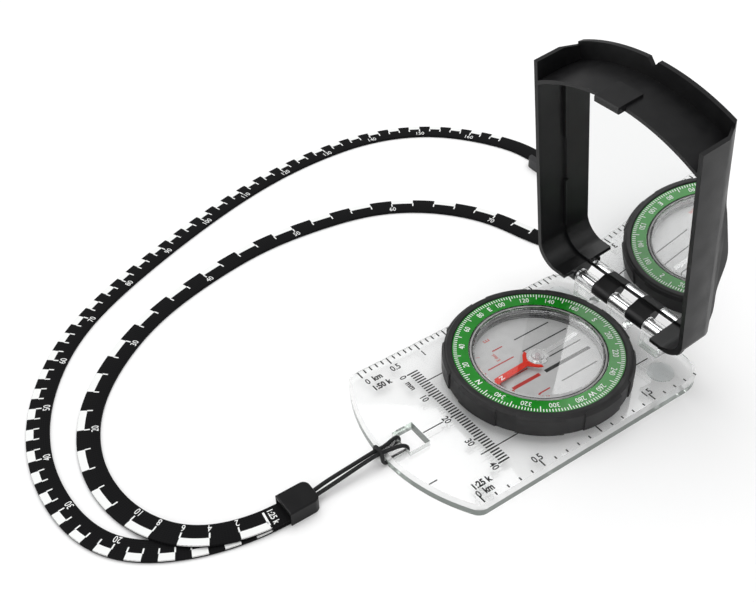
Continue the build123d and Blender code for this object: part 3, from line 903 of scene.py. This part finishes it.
def tube(name, path, radius, material, sides=14):
    """A round cord along a path in mm, with UVs that follow it."""
    shape = bmesh.new()
    sheet = shape.loops.layers.uv.new("braid")
    rings = []
    side = Vector((1, 0, 0))
    distances = [0.0]
    for a, b in zip(path, path[1:]):
        distances.append(distances[-1] + (b - a).length)
    for i, spot in enumerate(path):
        ahead = (path[min(i + 1, len(path) - 1)] - path[max(i - 1, 0)]).normalized()
        side = (side - ahead * side.dot(ahead)).normalized()
        up = ahead.cross(side)
        ring = []
        for j in range(sides):
            turn = 2 * pi * j / sides
            ring.append(shape.verts.new((spot + (side * cos(turn) + up * sin(turn)) * radius) * MM))
        rings.append(ring)
    for i, (a, b) in enumerate(zip(rings, rings[1:])):
        for j in range(sides):
            k = (j + 1) % sides
            face = shape.faces.new((a[j], a[k], b[k], b[j]))
            face.smooth = True
            for loop, (row, column) in zip(face.loops, ((i, j), (i, j + 1), (i + 1, j + 1), (i + 1, j))):
                loop[sheet].uv = (column / sides, distances[row])
    shape.faces.new(rings[0][::-1])
    shape.faces.new(rings[-1])
    return new_piece(name, shape, material)


def braided():
    """Black braid: two sets of fine waves that cross."""
    material = finish("cord", (0.014, 0.014, 0.015), 0.6, shine=0.3)
    tree = material.node_tree
    place = tree.nodes.new("ShaderNodeUVMap")
    place.uv_map = "braid"
    waves = []
    for lean in (1, -1):
        skew = tree.nodes.new("ShaderNodeMapping")
        skew.inputs["Scale"].default_value = (4.0 * lean, 1.2, 1)
        wave = tree.nodes.new("ShaderNodeTexWave")
        wave.bands_direction = "DIAGONAL"
        wave.inputs["Scale"].default_value = 0.3
        tree.links.new(place.outputs["UV"], skew.inputs["Vector"])
        tree.links.new(skew.outputs["Vector"], wave.inputs["Vector"])
        waves.append(wave.outputs["Fac"])
    braid = math_node(material, "MAXIMUM", *waves)
    spread(material, braid, 0.5, 0.7, "Roughness", from_low=0.0, from_high=1.0)
    bump(material, braid, height_mm=0.06, strength=0.6)
    return material


def lay_cord():
    half = [Vector(p) for p in CORD_HALF_PATH]
    other_half = [Vector((-p.x, p.y, p.z)) for p in half[-2::-1]]
    other_half[-1].x = CORD_END_X
    cord = tube("cord_strands", curve_through(half + other_half, 8), CORD_RADIUS, braided())
    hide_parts("cord_loop")
    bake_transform(cord)


lay_cord()


# ---- floor, light and camera, in metres
FLOOR_HALF = 6.0
FLOOR_DROP = 0.00002
LIT_SPOT = (-0.05, -0.02, 0.0)
DIAL_SPOT = (0.0, 0.0, 0.01)
SENSOR_MM = 36.0
LENS_MM = 49.84
CAMERA_PLACE = (0.1522, -0.1544, 0.2116)
CAMERA_RIGHT = (0.5716, 0.8201, -0.0255)
CAMERA_BACK = (0.6326, -0.4207, 0.6503)


def lay_floor():
    corners = [(x * FLOOR_HALF, y * FLOOR_HALF, 0) for x, y in ((-1, -1), (1, -1), (1, 1), (-1, 1))]
    mesh = bpy.data.meshes.new("floor")
    mesh.from_pydata(corners, [], [(0, 1, 2, 3)])
    material = finish("floor_white", (0.93, 0.93, 0.93), 0.9)
    spread(material, noise_field(material, grain_mm=60.0), 0.85, 0.95, "Roughness")
    mesh.materials.append(material)
    floor = bpy.data.objects.new("floor", mesh)
    bpy.context.scene.collection.objects.link(floor)
    floor.location.z = -FLOOR_DROP


def panel(name, place, target, size, power, in_reflections=True, on_surfaces=True):
    """A square softbox that faces a target."""
    light = bpy.data.lights.new(name, "AREA")
    light.size = size
    light.energy = power
    lamp = bpy.data.objects.new(name, light)
    lamp.location = place
    lamp.rotation_euler = (Vector(target) - Vector(place)).to_track_quat("-Z", "Y").to_euler()
    lamp.visible_glossy = in_reflections
    lamp.visible_diffuse = on_surfaces
    bpy.context.scene.collection.objects.link(lamp)


def set_lights():
    """A soft lamp above, a fill from the front, and a panel that only shows in reflections."""
    panel("top_light", (-0.25, 0.15, 0.9), LIT_SPOT, size=0.9, power=6.2, in_reflections=False)
    panel("front_light", (0.5, -0.6, 0.6), LIT_SPOT, size=0.6, power=1.4)
    panel("dial_glint", (-0.41, -0.51, 0.54), DIAL_SPOT, size=0.5, power=2.0, on_surfaces=False)
    world = bpy.data.worlds.new("studio")
    world.use_nodes = True
    sky = world.node_tree.nodes["Background"]
    sky.inputs["Color"].default_value = (1, 1, 1, 1)
    sky.inputs["Strength"].default_value = 0.58
    bpy.context.scene.world = world


def set_view():
    scene = bpy.context.scene
    scene.view_settings.view_transform = "Standard"
    scene.view_settings.look = "None"
    scene.cycles.max_bounces = 28
    scene.cycles.transmission_bounces = 24
    scene.cycles.transparent_max_bounces = 24
    scene.cycles.glossy_bounces = 8


def place_camera():
    camera_data = bpy.data.cameras.new("camera")
    camera_data.sensor_width = SENSOR_MM
    camera_data.lens = LENS_MM
    camera = bpy.data.objects.new("camera", camera_data)
    back = Vector(CAMERA_BACK).normalized()
    up = back.cross(Vector(CAMERA_RIGHT)).normalized()
    right = up.cross(back)
    turn = Matrix((right, up, back)).transposed().to_4x4()
    camera.matrix_world = Matrix.Translation(CAMERA_PLACE) @ turn
    bpy.context.scene.collection.objects.link(camera)
    bpy.context.scene.camera = camera


lay_floor()
set_lights()
set_view()
place_camera()
